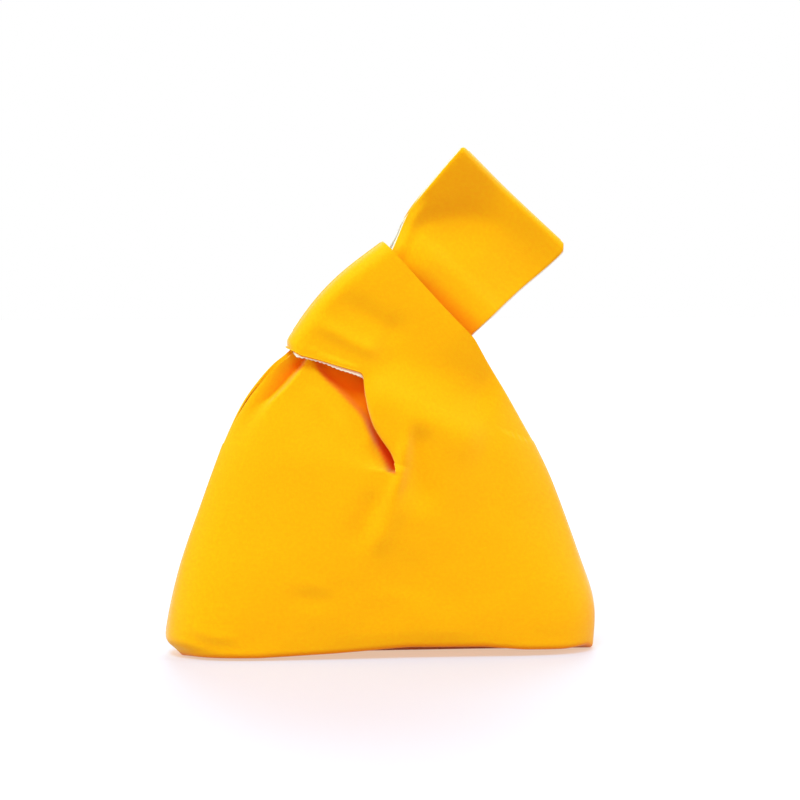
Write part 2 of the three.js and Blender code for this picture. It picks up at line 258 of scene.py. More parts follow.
# %% [markdown]
# ## The long loop's root
# The left half of the top is drawn together like a gathered skirt and dives under the short loop. It
# keeps a soft lip where it starts to dive, and one pleat near the left side. Both are lines in the
# front view, and the cloth's depth changes across them.

# %% Shape of the root
ROOT_LEVEL = 8.6
ROOT_SIDE_LEVEL = 7.0
ROOT_DEEP = 2.1
PLEAT_DEEP = 2.0
PAINTED_PLEAT_SHADE = 0.65
LIP_REACH = (2.8, 4.6)
DIVE = (0.45, 0.62)
SIDE_SHARE = 0.16
INSET_SHARE = 0.85
INSET_WAY = np.array([0.74, -0.67])
ROOT_OUTER = [(-73.8, 99.0), (-67.2, 113.1), (-60.8, 123.2), (-51.2, 134.4), (-41.2, 142.4), (-14.8, 164.6)]
ROOT_INNER = [(11.5, 87.2), (15.4, 94.0), (17.4, 106.0), (19.4, 118.0), (21.6, 131.8)]
ROOT_LIP = [(2.4, 84.6), (-1.8, 92.4), (-6.8, 102.4), (-10.2, 110.0), (-14.8, 115.6), (-21.6, 122.4),
            (-28.0, 128.5), (-33.0, 137.0), (-36.0, 147.0)]
ROOT_PLEAT = [(-69.0, 97.5), (-66.0, 102.4), (-59.4, 111.3), (-44.8, 125.5), (-34.0, 139.2), (-28.0, 150.0)]


def from_line(points, flat):
    """Signed distance from a line in the front view, positive on its left, and the share along it."""
    line = dense_curve(points, 14)
    steps = np.diff(line, axis=0)
    best = np.full(flat.shape[:-1], np.inf)
    signed, share = np.zeros_like(best), np.zeros_like(best)
    for i, (corner, step) in enumerate(zip(line, steps)):
        offset = flat - corner
        part = np.clip((offset @ step) / (step @ step), 0, 1)
        distance = np.linalg.norm(offset - part[..., None] * step, axis=-1)
        side = np.sign(step[0] * offset[..., 1] - step[1] * offset[..., 0])
        near = distance < best
        best = np.where(near, distance, best)
        signed = np.where(near, distance * side, signed)
        share = np.where(near, (i + part) / len(steps), share)
    return signed, share


def strap_root_point(u, rows, inset):
    """Points of the root and the painted shade of each, orange in the pocket and the pleat; inset draws the
    outer edge in.
    """
    t = rows[:, None]
    p = ((u + 1) / (NECK_U + 1))[None, :]
    start = pouch_point(u, np.full_like(u, 3.0))[None]
    outline = along_curve(ROOT_OUTER, rows)[:, None]
    drawn_in = inset * np.sin(math.pi * np.clip(t / INSET_SHARE, 0, 1))
    outer = outline + drawn_in[..., None] * INSET_WAY
    inner = along_curve([NECK, *ROOT_INNER], rows)[:, None]
    flat = lerp(outer, inner, p[..., None])
    chord = lerp(outer[0, 0], NECK, p[..., None])
    flat = flat + (start[..., [0, 2]] - chord) * ((1 - t) ** 2)[..., None]
    level = lerp(ROOT_LEVEL, ROOT_SIDE_LEVEL, np.clip(1 - p / SIDE_SHARE, 0, 1) ** 2)
    y = lerp(start[..., 1], -level, smooth(t, 0, 0.62))
    lip, _ = from_line(ROOT_LIP, flat)
    above = flat[..., 1] - NECK[1]
    reach = lerp(*LIP_REACH, smooth(above, 0, 26))
    dive = smooth(-lip, 0, reach) * smooth(above, -2.5, 1) * lerp(*DIVE, smooth(above, 3, 30))
    y = lerp(y, -ROOT_DEEP, dive)
    pleat, share = from_line(ROOT_PLEAT, flat)
    recess = smooth(pleat, -0.2, 1.1) * lerp(0.3, 1.0, smooth(share, 0.2, 0.7)) * smooth(share, 0.0, 0.3)
    from_side = np.linalg.norm(flat - outline, axis=-1)
    recess = recess * lerp(0.1, 1.0, from_side / (from_side + np.clip(pleat, 0.1, None)))
    y = lerp(y, -PLEAT_DEEP, recess)
    # Painted shade: orange in the pocket under the lip and in the pleat's recess.
    painted_shade = smooth(-lip, 0.2, 2.2) * smooth(above, -1.5, 1) * lerp(1.0, 0.7, smooth(above, 4, 22))
    painted_shade = np.maximum(painted_shade, PAINTED_PLEAT_SHADE * recess * lerp(0.3, 1.0, smooth(share, 0.45, 0.8)))
    return np.stack([flat[..., 0], y, flat[..., 1]], -1), painted_shade


print("root runs from z", ROOT_OUTER[0][1], "to", ROOT_OUTER[-1][1], "mm along its side")

# %% [markdown]
# ## Folds
# A ridge stands out along a line. A roll leans out on one side of its line and in on the other, as a
# shelf of cloth does. Each fold lists where it runs in the front view, its width and its height. The
# back has the same folds, weaker, because the same knot pulls it. Lines can be set where the real folds
# lie, which a cloth simulation would not promise.

# %% Folds that the knot pulls into the cloth
RIDGES = [
    ([(-38.0, 160.0), (-23.0, 151.0), (-10.0, 144.2), (0.0, 140.0)], 3.6, 1.1),
    ([(-22.0, 168.0), (-4.0, 155.6), (14.0, 147.4)], 6.5, -1.2),
    ([(11.6, 112.0), (9.6, 96.0), (6.8, 83.0), (2.2, 70.0)], 2.8, 1.9),
    ([(17.5, 112.0), (17.0, 92.0), (18.0, 62.0)], 7.5, -2.2),
    ([(-1.0, 80.0), (-8.0, 66.0), (-15.0, 48.0)], 6.5, -1.2),
    ([(7.0, 80.0), (1.0, 64.0), (-6.0, 47.0)], 5.0, 1.1),
    ([(-12.0, 96.0), (-19.0, 108.0), (-28.0, 118.0), (-36.0, 127.0)], 5.0, 0.8),
    ([(-48.0, 32.0), (-36.0, 27.0), (-22.0, 25.0)], 5.0, -0.5),
    ([(-42.0, 37.0), (-22.0, 32.0)], 4.0, 0.4),
    ([(-94.0, 13.0), (-85.0, 7.5), (-74.0, 5.0), (-62.0, 4.0)], 2.2, -0.7),
    ([(-92.0, 17.0), (-82.0, 11.5), (-66.0, 9.0)], 2.4, 0.6),
]
ROLLS = [
    ([(-10.0, 134.0), (6.0, 127.5), (31.0, 114.5), (53.0, 105.5)], 8.0, -1.9),
    ([(6.0, 60.0), (-4.0, 46.0), (-8.0, 30.0)], 9.0, -0.4),
]
UPHILL = 0.6
DOWNHILL = 0.8
RIPPLES = ((46.0, 1.3), (15.0, 0.3))


def fold_height(flat):
    total = np.zeros(flat.shape[:-1])
    for line, width, height in RIDGES:
        distance, share = from_line(line, flat)
        fade = smooth(share, 0.0, 0.35) * (1 - smooth(share, 0.7, 1.0))
        total += height * np.exp(-((distance / width) ** 2)) * lerp(0.1, 1.0, fade)
    for line, width, height in ROLLS:
        distance, share = from_line(line, flat)
        fade = smooth(share, 0.0, 0.3) * (1 - smooth(share, 0.8, 1.0))
        lean = distance / width
        lean = np.where(lean > 0, UPHILL, DOWNHILL) * lean
        total += height * lean * np.exp(0.5 - 0.5 * lean**2) * lerp(0.2, 1.0, fade)
    return total


def ripple(points, seed):
    """The slow unevenness of cloth that has been handled."""
    total = np.zeros(len(points))
    for (length, height), shift in zip(RIPPLES, (Vector((seed, 0, 0)), Vector((0, seed, 0)))):
        total += height * np.array([noise.noise(Vector(p) / length + shift) for p in points])
    return total


print(len(RIDGES), "ridges and", len(ROLLS), "rolls")

# %% [markdown]
# ## One sheet for each side
# Front and back are each one sheet: pouch, short loop and root share the points of the line where they
# meet, so no join shows. Cloth can't hold a kink there, so the sheet is relaxed along that line: each
# point moves towards the middle of its neighbours, a few dozen times.

# %% Helpers for a sheet
LEFT_PLACES = 70
RIGHT_PLACES = 80
POUCH_ROWS = np.concatenate([np.linspace(0, 1, 7), np.linspace(1, 2, 9)[1:], np.linspace(2, 3, 52)[1:]])
LOOP_ROWS = np.concatenate([np.linspace(0, CORNER_SHARE, 42), np.linspace(CORNER_SHARE, 1, 46)[1:],
                            np.linspace(1, 2, 15)[1:]])
ROOT_ROWS = np.linspace(0, 1, 58)
RELAX_TURNS = 70
PATTERN_HALF = 95.0

def places(first, last, count):
    ends = np.arcsin(np.clip([first, last], -1, 1))
    return np.sin(np.linspace(ends[0], ends[1], count + 1))


def quads(index):
    corners = [index[:-1, :-1], index[:-1, 1:], index[1:, 1:], index[1:, :-1]]
    return np.stack(corners, -1).reshape(-1, 4)


def relax(points, faces, weight):
    edges = np.vstack([faces[:, [k, (k + 1) % 4]] for k in range(4)])
    edges = np.unique(np.sort(edges, axis=1), axis=0)
    count = np.bincount(edges.ravel(), minlength=len(points))[:, None]
    for _ in range(RELAX_TURNS):
        total = np.zeros_like(points)
        np.add.at(total, edges[:, 0], points[edges[:, 1]])
        np.add.at(total, edges[:, 1], points[edges[:, 0]])
        points = points + weight[:, None] * (total / count - points)
    return points


def normals(points, faces):
    a, b, c, d = (points[faces[:, k]] for k in range(4))
    face = np.cross(c - a, d - b)
    total = np.zeros_like(points)
    for k in range(4):
        np.add.at(total, faces[:, k], face)
    return total / np.linalg.norm(total, axis=1)[:, None]


print("rows of pouch, loop and root", len(POUCH_ROWS), len(LOOP_ROWS), len(ROOT_ROWS))

# %% [markdown]
# ## Sewing the three shapes together
# The foot lifts off the table between its corners, and every point keeps its place on the flat pattern,
# which the weave follows. Each point also carries a share of painted shade: the colour turns towards orange
# in the folds and under the foot, painted to stand for shade and the light that canvas bounces onto canvas.

# %% One side of the bag
FOOT_LIFT = [(-100, 1.0), (-58, 1.0), (-24, 2.6), (-6, 3.8), (10, 5.0), (46, 4.6), (65, 2.9), (84, 2.4),
             (101, 3.2)]
# Painted shade: orange on the base and round the foot.
PAINTED_FOOT_SHADE = 0.6


def bag_sheet(strength, seed, lifted, inset, roll):
    """One side, facing -Y: points, faces, flat pattern, the short loop's point numbers, painted shade."""
    left = places(-1, NECK_U, LEFT_PLACES)
    right = places(NECK_U, 1, RIGHT_PLACES)
    across = np.concatenate([left, right[1:]])
    pouch = pouch_point(*np.meshgrid(across, POUCH_ROWS))
    loop = short_loop_point(right, LOOP_ROWS, roll)
    root, root_painted_shade = strap_root_point(left, ROOT_ROWS, inset)
    pouch_index = np.arange(pouch[..., 0].size).reshape(pouch.shape[:2])
    loop_index = pouch_index.max() + 1 + np.arange(loop[1:, :, 0].size).reshape(-1, len(right))
    loop_index = np.vstack([pouch_index[-1:, LEFT_PLACES:], loop_index])
    root_index = loop_index.max() + 1 + np.arange(root[1:, :, 0].size).reshape(-1, len(left))
    root_index = np.vstack([pouch_index[-1:, : LEFT_PLACES + 1], root_index])
    points = np.vstack([grid.reshape(-1, 3) for grid in (pouch, loop[1:], root[1:])])
    faces = np.vstack([quads(index) for index in (pouch_index, loop_index, root_index)])

    weight = np.zeros(len(points))
    beside_neck = smooth(np.abs(across - NECK_U), 0.08, 0.32)
    weight[pouch_index] = smooth(POUCH_ROWS, 2.5, 2.9)[:, None] * beside_neck
    weight[loop_index[1:]] = (1 - smooth(LOOP_ROWS, 0.12, 0.34))[1:, None] * beside_neck[LEFT_PLACES:]
    weight[root_index[1:]] = (1 - smooth(ROOT_ROWS, 0.1, 0.3))[1:, None] * beside_neck[: LEFT_PLACES + 1]
    for index in (pouch_index, loop_index, root_index):
        weight[index[:, [0, -1]]] = 0
    points = relax(points, faces, 0.5 * weight)

    seam = np.ones(len(points))
    seam[pouch_index] = (1 - np.abs(across) ** 6)[None, :]
    turned = np.ones(len(points))
    turned[loop_index] = (1 - smooth(LOOP_ROWS, 0.95, 1.5))[:, None]
    height = strength * fold_height(points[:, [0, 2]]) + ripple(points, seed)
    points[:, 1] -= height * smooth(points[:, 2], 0, 9) * seam * turned
    lift = np.interp(points[:, 0], *np.array(FOOT_LIFT).T)
    points[:, 2] += lifted * lift * (1 - smooth(points[:, 2], 2, 40)) * smooth(-points[:, 1], 4, 14)

    pattern = np.zeros((len(points), 2))
    start = 0.0
    for index, us in ((pouch_index, across), (loop_index, right), (root_index, left)):
        step = np.linalg.norm(np.diff(points[index], axis=0), axis=-1).mean(axis=1)
        up = start + np.concatenate([[0], np.cumsum(step)])
        pattern[index] = np.stack(np.meshgrid(us * PATTERN_HALF, up), -1)
        start = pattern[pouch_index[-1, 0], 1]
    # Painted shade: orange on the base and round the foot, and in the root's pocket and pleat.
    painted_shade = np.zeros(len(points))
    painted_shade[pouch_index] = PAINTED_FOOT_SHADE * (1 - smooth(POUCH_ROWS, 1.2, 1.95))[:, None]
    painted_shade[root_index] = root_painted_shade
    return points, faces, pattern, loop_index, painted_shade


print("foot lifts up to", max(lift for _, lift in FOOT_LIFT), "mm")

# %% [markdown]
# ## Canvas and cotton
# The canvas is a plain weave: two wave patterns across each other, read from the flat pattern so that
# the threads follow the cut. Slow noise makes the dye a little uneven, and some sheen stands for the
# fuzz that makes cotton paler where it is seen edge on. Where a point carries painted shade, the colour
# turns to orange.
# A picture of cloth would do too, but patterns made of nodes stay sharp at any distance.

# %% Materials
YELLOW = (0.97, 0.5, 0.001, 1)
YELLOW_DEEP = (0.96, 0.415, 0.0005, 1)
# Painted shade: the orange that folds, hollows and the foot turn towards.
PAINTED_SHADE_ORANGE = (0.99, 0.1, 0.0003, 1)
WHITE = (0.97, 0.89, 0.84, 1)
WHITE_DEEP = (0.92, 0.81, 0.75, 1)
CLOTH_ROUGHNESS = 0.5
CLOTH_SPECULAR = 0.03
FUZZ_ROUGHNESS = 0.42
BANDS_PER_UNIT = 0.314
DYE_SCALE = 0.55
WEAVE_SHARE = 0.35
DYE_RANGE = (0.4, 0.9)
WEAVE_STRENGTH = 0.3
WEAVE_HEIGHT = 0.0003


def mixed(nodes, links, factor, first, second):
    """A mix of two colours, each a value or the output of another node."""
    blend = nodes.new("ShaderNodeMix")
    blend.data_type = "RGBA"
    links.new(factor, blend.inputs["Factor"])
    for socket, colour in (("A", first), ("B", second)):
        if isinstance(colour, tuple):
            blend.inputs[socket].default_value = colour
        else:
            links.new(colour, blend.inputs[socket])
    return blend.outputs["Result"]


def cloth_material(name, light, deep, tucked, thread, sheen):
    material = bpy.data.materials.new(name)
    material.use_nodes = True
    nodes, links = material.node_tree.nodes, material.node_tree.links
    shader = nodes["Principled BSDF"]
    shader.inputs["Roughness"].default_value = CLOTH_ROUGHNESS
    shader.inputs["Specular IOR Level"].default_value = CLOTH_SPECULAR
    shader.inputs["Sheen Weight"].default_value = sheen
    shader.inputs["Sheen Roughness"].default_value = FUZZ_ROUGHNESS
    where = nodes.new("ShaderNodeUVMap")
    where.uv_map = "pattern"
    weave = nodes.new("ShaderNodeMath")
    weave.operation = "MULTIPLY"
    for k, direction in enumerate("XY"):
        wave = nodes.new("ShaderNodeTexWave")
        wave.bands_direction = direction
        wave.inputs["Scale"].default_value = BANDS_PER_UNIT / thread
        wave.inputs["Distortion"].default_value = 0.6
        wave.inputs["Detail"].default_value = 1.0
        links.new(where.outputs["UV"], wave.inputs["Vector"])
        links.new(wave.outputs["Fac"], weave.inputs[k])
    dye = nodes.new("ShaderNodeTexNoise")
    dye.inputs["Scale"].default_value = DYE_SCALE
    dye.inputs["Detail"].default_value = 4.0
    dye.inputs["Roughness"].default_value = 0.7
    links.new(where.outputs["UV"], dye.inputs["Vector"])
    mottle = nodes.new("ShaderNodeMath")
    mottle.operation = "MULTIPLY_ADD"
    mottle.inputs[1].default_value = WEAVE_SHARE
    links.new(weave.outputs["Value"], mottle.inputs[0])
    links.new(dye.outputs["Fac"], mottle.inputs[2])
    contrast = nodes.new("ShaderNodeMapRange")
    contrast.inputs["From Min"].default_value = DYE_RANGE[0]
    contrast.inputs["From Max"].default_value = DYE_RANGE[1]
    links.new(mottle.outputs["Value"], contrast.inputs["Value"])
    dyed = mixed(nodes, links, contrast.outputs["Result"], deep, light)
    # Painted shade: the point attribute read here turns the colour towards the last colour given, orange on
    # the canvas, standing for shade in folds, hollows and under the foot.
    painted_shade = nodes.new("ShaderNodeAttribute")
    painted_shade.attribute_name = "painted_shade"
    links.new(mixed(nodes, links, painted_shade.outputs["Fac"], dyed, tucked), shader.inputs["Base Color"])
    bump = nodes.new("ShaderNodeBump")
    bump.inputs["Strength"].default_value = WEAVE_STRENGTH
    bump.inputs["Distance"].default_value = WEAVE_HEIGHT
    links.new(mottle.outputs["Value"], bump.inputs["Height"])
    links.new(bump.outputs["Normal"], shader.inputs["Normal"])
    return material


canvas = cloth_material("yellow_canvas", YELLOW, YELLOW_DEEP, PAINTED_SHADE_ORANGE, 0.55, 0.4)
cotton = cloth_material("white_cotton", WHITE, WHITE_DEEP, WHITE_DEEP, 0.4, 0.06)
print("materials", canvas.name, cotton.name)

# %% [markdown]
# ## From points to cloth
# A mesh is made from points and faces, then a Solidify modifier gives it the cloth's thickness inwards
# and one Subdivision step rounds the cut edges. Modelling both faces of each sheet by hand would give the
# same cloth with twice the points to keep in order.

# %% Making a piece of cloth
def make_cloth(name, points, faces, pattern, material, thickness, mirror=False, painted_shade=0.0):
    flip = np.array([1, -1 if mirror else 1, 1])
    faces = faces[:, ::-1] if mirror else faces
    mesh = bpy.data.meshes.new(name)
    mesh.from_pydata((points * flip * MM).tolist(), [], faces.tolist())
    corners = np.empty(len(mesh.loops), int)
    mesh.loops.foreach_get("vertex_index", corners)
    mesh.uv_layers.new(name="pattern").data.foreach_set("uv", pattern[corners].ravel())
    # Each point's share of painted shade, which the material turns towards orange.
    mesh.attributes.new("painted_shade", "FLOAT", "POINT").data.foreach_set("value", np.zeros(len(points)) + painted_shade)
    mesh.polygons.foreach_set("use_smooth", [True] * len(mesh.polygons))
    mesh.materials.append(material)
    piece = bpy.data.objects.new(name, mesh)
    bpy.context.collection.objects.link(piece)
    solid = piece.modifiers.new("thickness", "SOLIDIFY")
    solid.thickness = thickness * MM
    solid.offset = -1
    soft = piece.modifiers.new("soft edges", "SUBSURF")
    soft.levels = soft.render_levels = 1
    return piece


def finish_piece(replaced):
    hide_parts(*replaced)


print("canvas", CANVAS, "mm, lining", COTTON, "mm")

# %% [markdown]
# ## Front and back
# The lining is the same sheet, set in by the canvas and a small gap. Along the short loop's cut edge it
# stands out a little and rolls forward, and a small wave along its edge stands for the frayed threads.

# %% Canvas and lining of the bag
BAG_PARTS = ("pouch", "short_loop", "strap_root")
LINING_PEEP = [(0.66, 1.5), (0.76, 1.3), (0.84, 0.6), (0.96, 0.5), (1.1, 1.4), (2.0, 1.6)]
LINING_ROLL = 1.0
NECK_SET_IN = 1.6
SIDE_HEM = 2.6
FRAY = 0.35
FRAY_PITCH = 2.1
# Each side: mirrored, strength of folds, seed of ripple, share of the foot's lift, inset of the root
BAG_SIDES = (("front", False, 1.2, 3.0, 1.0, 1.3), ("back", True, 0.9, 11.0, 0.4, 0.0))

for side, mirror, *looks, inset in BAG_SIDES:
    points, faces, pattern, loop_index, painted_shade = bag_sheet(*looks, inset, roll=1)
    sheet = make_cloth(f"{side}_canvas", points, faces, pattern, canvas, CANVAS, mirror, painted_shade)
    points = bag_sheet(*looks, inset + SIDE_HEM, roll=0)[0]
    from_neck = np.linalg.norm(points[:, [0, 2]] - NECK, axis=1)
    set_in = CANVAS + LAYER_GAP + NECK_SET_IN * (1 - smooth(from_neck, 2, 12))
    inside = points - set_in[:, None] * normals(points, faces)
    edge = loop_index[:, 0]
    along = np.gradient(inside[edge], axis=0)
    outwards = np.stack([-along[:, 2], 0 * along[:, 1], along[:, 0]], -1)
    outwards /= np.linalg.norm(outwards, axis=1)[:, None]
    run = np.concatenate([[0], np.cumsum(np.linalg.norm(np.diff(inside[edge], axis=0), axis=1))])
    peep = np.interp(LOOP_ROWS, *np.array(LINING_PEEP).T) + FRAY * np.sin(run * 2 * math.pi / FRAY_PITCH)
    shown = smooth(LOOP_ROWS, CORNER_SHARE - 0.01, CORNER_SHARE + 0.02) * (1 - smooth(LOOP_ROWS, 1.2, 1.7))
    inside[edge] += (peep * shown)[:, None] * outwards
    inside[edge, 1] -= LINING_ROLL * shown
    lining = make_cloth(f"{side}_lining", inside, faces, pattern, cotton, COTTON, mirror)
    for piece, cloth, slot in ((sheet, "outer", "canvas"), (lining, "lining", "lining")):
        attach(piece, "bag")
        finish_piece([f"{side}_{part}_{cloth}" for part in BAG_PARTS])
    print(side, len(points), "points, depth", points[:, 1].min().round(1))

# %% [markdown]
# ## The handle
# The long loop comes out of the knot as a flat strap with a slanting crease: below it the strap leans back,
# and above it hangs forward. Front and back legs meet in the crown seam. The strap is drawn in the knot's
# own frame, because its edges are nearly straight there.

# %% Shape of the handle
HANDLE_LENGTH = 60.0
HANDLE_FROM = -24.0
HANDLE_PLACES = 46
STRAP_WIDTH = 65.0
CROWN_TURN = 2.6
HANDLE_LEFT = [(-24, -17.0), (-6, -23.0), (3, -24.6), (9, -26.6), (21, -30.6), (32, -31.8), (57, -32.7),
               (60, -31.4)]
HANDLE_RIGHT = [(-24, 18.0), (-6, 28.4), (1, 29.8), (15, 31.3), (30, 33.2), (44, 35.4), (54, 36.3),
                (57, 36.0), (60, 34.2)]
HANDLE_GAP = [(-24, 3.4), (-6, 5.8), (0, 6.9), (6, 7.5), (12, 7.6), (18, 7.3), (30, 6.4), (48, 4.8),
              (61, 3.7)]
BACK_LEG_SHIFT = 0.4
EDGE_CLOSE = 0.5
RIGHT_CLOSE = 0.45
EDGE_ROUND = 3.0
BEND_START = 10.0
LIE_BACK = 0.17
HANG_FORWARD = 0.27
CREASE = [(-36, 5.0), (-22, 18.0), (-9, 31.0), (0, 36.5), (11, 39.5), (22, 41.5), (38, 43.0)]
CREASE_SOFT = 4.2
CROWN_STRAIGHT = 5.0
CROWN_BEAD = 0.45
BEAD_WIDTH = 2.8
BEAD_RISE = 2.2
HANDLE_VALLEY = [(-16, -2), (-18.2, 6), (-21, 13), (-22.5, 21), (-18, 30), (-9, 39), (4, 45), (18, 48),
                 (34, 51)]
VALLEY_WIDTHS = (2.6, 7.0)
PUFF_AT = (-8.0, 8.0)
PUFF = 1.2
PUFF_SPREAD = 80.0
PAINTED_CONTACT_SHADE = 0.4


def handle_middle(a, b):
    """How far the strap's middle lies behind the bag's plane."""
    b = np.minimum(b, HANDLE_LENGTH - CROWN_STRAIGHT)
    crease = np.maximum(side_at(CREASE, a), BEND_START)
    over = CREASE_SOFT * np.log1p(np.exp((b - crease) / CREASE_SOFT))
    under = b - BEND_START - over
    return (LIE_BACK * under - HANG_FORWARD * over) * smooth(b, BEND_START, BEND_START + 10)


def handle_leg(leg):
    """Points, pattern and painted shade of one leg, -1 the front and 1 the back, from the knot to the crown.
    """
    rows = np.concatenate([np.linspace(0, 1, 76), np.linspace(1, 2, 9)[1:]])
    across, row = np.meshgrid(np.linspace(0, 1, HANDLE_PLACES + 1), rows)
    turn = np.clip(row - 1, 0, 1) * math.pi / 2
    b = lerp(HANDLE_FROM, HANDLE_LENGTH - CROWN_TURN, np.clip(row, 0, 1)) + CROWN_TURN * np.sin(turn)
    a = lerp(side_at(HANDLE_LEFT, b), side_at(HANDLE_RIGHT, b), across)
    if leg > 0:
        a = a - BACK_LEG_SHIFT * smooth(b, -8, 4) * (1 - smooth(b, 14, 30))
    by_left_edge = np.exp(-((across * STRAP_WIDTH / EDGE_ROUND) ** 2))
    rounded = by_left_edge * smooth(b, 0, 10) * (1 - smooth(b, 22, 36))
    apart = side_at(HANDLE_GAP, b) * (1 - EDGE_CLOSE * rounded)
    apart = apart * (1 - RIGHT_CLOSE * smooth(a, 4, 36) * smooth(b, 0, 34))
    valley, share = from_line(HANDLE_VALLEY, np.stack([a, b], -1))
    deep = lerp(0.9, 1.0, smooth(share, 0.2, 0.5)) * (1 - smooth(share, 0.55, 1)) * smooth(b, -4, 4)
    apart = apart - deep * np.exp(-((valley / lerp(*VALLEY_WIDTHS, share)) ** 2))
    from_puff = (a - PUFF_AT[0]) ** 2 + (b - PUFF_AT[1]) ** 2
    apart = apart + PUFF * np.exp(-from_puff / PUFF_SPREAD) * smooth(b, -6, 4)
    bead_from = HANDLE_LENGTH - BEAD_WIDTH
    apart = apart + CROWN_BEAD * smooth(b, bead_from - BEAD_RISE, bead_from)
    y = handle_middle(a, b) + leg * lerp(SEAM_EDGE, apart, np.cos(turn))
    flat = knot_point(a, b)
    pattern = np.stack([across * STRAP_WIDTH, b], -1).reshape(-1, 2)
    # Painted shade: orange where the handle comes out of the short loop, strongest on its right.
    painted_shade = PAINTED_CONTACT_SHADE * (1 - smooth(b, 0, 9)) * lerp(0.3, 1.0, smooth(a, -14, 6))
    return np.stack([flat[..., 0], y, flat[..., 1]], -1), pattern, painted_shade.ravel()


print("handle is", HANDLE_LENGTH, "mm long from the knot to its crown")

# %% [markdown]
# ## Cloth of the handle
# The handle falls over the short loop's edge. Each leg is one sheet, which stands in for both the neck
# and the loop parts. The lining shows as a thin white line along both edges.

# %% Canvas and lining of the handle
HANDLE_RIPPLE = 0.3
HANDLE_SEED = 21.0
LEFT_PEEP = 0.8
RIGHT_PEEP = 0.6
STRAP_ACROSS = np.array([ACROSS[0], 0, ACROSS[1]])

for side, leg in (("front", -1), ("back", 1)):
    grid, pattern, painted_shade = handle_leg(leg)
    points = grid.reshape(-1, 3)
    points[:, 1] -= HANDLE_RIPPLE * ripple(points, HANDLE_SEED + leg)
    index = np.arange(len(points)).reshape(grid.shape[:2])
    faces = quads(index) if leg < 0 else quads(index)[:, ::-1]
    outer = make_cloth(f"{side}_handle_canvas", points, faces, pattern, canvas, CANVAS, painted_shade=painted_shade)
    inside = points - (CANVAS + LAYER_GAP) * normals(points, faces)
    b = pattern[index[:, 0], 1]
    shown = smooth(b, -6, 0) * (1 - smooth(b, 14, 22))
    inside[index[:, 0]] -= LEFT_PEEP * shown[:, None] * STRAP_ACROSS
    inside[index[:, -1]] += RIGHT_PEEP * STRAP_ACROSS
    lining = make_cloth(f"{side}_handle_lining", inside, faces, pattern, cotton, COTTON)
    for piece, cloth, slot in ((outer, "outer", "canvas"), (lining, "lining", "lining")):
        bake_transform(piece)
        finish_piece([f"{side}_handle_{part}_{cloth}" for part in ("neck", "loop")])
    print(side, "handle leg", len(points), "points")

# %% [markdown]
# ## The hidden strap
# Between the root and the handle the strap runs through the knot. It slides with the handle, so it is a
# strip of its own, narrow enough to stay inside, and long enough to show no gap when the handle is pulled.

# %% Strap inside the knot
SLACK_FROM = -44.0
SLACK_TO = -12.0
SLACK_HALF = 15.5
SLACK_LEVEL = 1.65

across, b = np.meshgrid(np.linspace(-1, 1, 15), np.linspace(SLACK_FROM, SLACK_TO, 15))
flat = knot_point(1.0 + SLACK_HALF * across, b)
pattern = np.stack([SLACK_HALF * across, b], -1).reshape(-1, 2)
faces = quads(np.arange(across.size).reshape(across.shape))
for side, mirror in (("front", False), ("back", True)):
    points = np.stack([flat[..., 0], np.full_like(b, -SLACK_LEVEL), flat[..., 1]], -1).reshape(-1, 3)
    inside = points + np.array([0, CANVAS + LAYER_GAP, 0])
    outer = make_cloth(f"{side}_strap_canvas", points, faces, pattern, canvas, CANVAS, mirror)
    lining = make_cloth(f"{side}_strap_lining", inside, faces, pattern, cotton, COTTON, mirror)
    for piece, cloth, slot in ((outer, "outer", "canvas"), (lining, "lining", "lining")):
        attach(piece, "strap")
        finish_piece([f"{side}_strap_throat_{cloth}"])
    print(side, "strap inside the knot", SLACK_TO - SLACK_FROM, "mm long")

# %% [markdown]
# ## Seams
# Each seam joins the front sheet to the back one, with the allowance turned inside. A narrow strip does
# both: its outer edge fills the line between the sheets and the rest lies inside. Welding the sheets
# together would lose the line of shade that shows where they are sewn.

# %% Seam strips
SEAM_THICK = 0.8
ALLOWANCE = 4.0
SEAM_OUT = 0.3
SEAM_FOOT = 0.2
BASE_SEAM_RISE = 0.4
FOLD_SEAM_FROM = 0.11
CROWN_INSET = 1.0


def seam_strip(name, line, inwards, body, replaced):
    """line holds places (x, y, z) along the seam and inwards the direction of the allowance at each."""
    line, inwards = np.array(line, float), np.array(inwards, float)
    depth = np.linspace(-SEAM_OUT, ALLOWANCE, 6)
    grid = line[:, None] + inwards[:, None] * depth[None, :, None]
    run = np.concatenate([[0], np.cumsum(np.linalg.norm(np.diff(line, axis=0), axis=1))])
    pattern = np.stack(np.meshgrid(depth, run), -1).reshape(-1, 2)
    index = np.arange(grid[..., 0].size).reshape(grid.shape[:2])
    piece = make_cloth(name, grid.reshape(-1, 3), quads(index), pattern, canvas, SEAM_THICK)
    piece.modifiers["thickness"].offset = 0
    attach(piece, body)
    finish_piece([replaced])
    print(name, "is", run[-1].round(1), "mm long")


